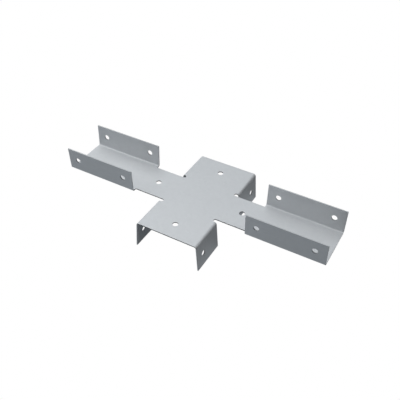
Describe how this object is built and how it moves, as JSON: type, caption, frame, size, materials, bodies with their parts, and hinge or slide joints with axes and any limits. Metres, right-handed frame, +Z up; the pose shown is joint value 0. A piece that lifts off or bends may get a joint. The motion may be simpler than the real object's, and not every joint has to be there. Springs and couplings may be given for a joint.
{
  "type": "cross-shaped fence bracket",
  "caption": "Cross-shaped bracket folded from one galvanised sheet: upright channels at the ends of its long arm hold rails, and its cross arm straddles a timber.",
  "frame": {"origin": "middle of the flat underside of the crossing, where the bracket sits on the timber it straddles", "axes": "+X along the long arm with the rail channels, +Y along the cross arm, +Z up"},
  "size_m": [0.4, 0.1756, 0.0768],
  "materials": {
    "galvanised_steel": "satin, hot-dip galvanised"
  },
  "bodies": {
    "root": {"bracket": "galvanised_steel"}
  },
  "joints": []
}
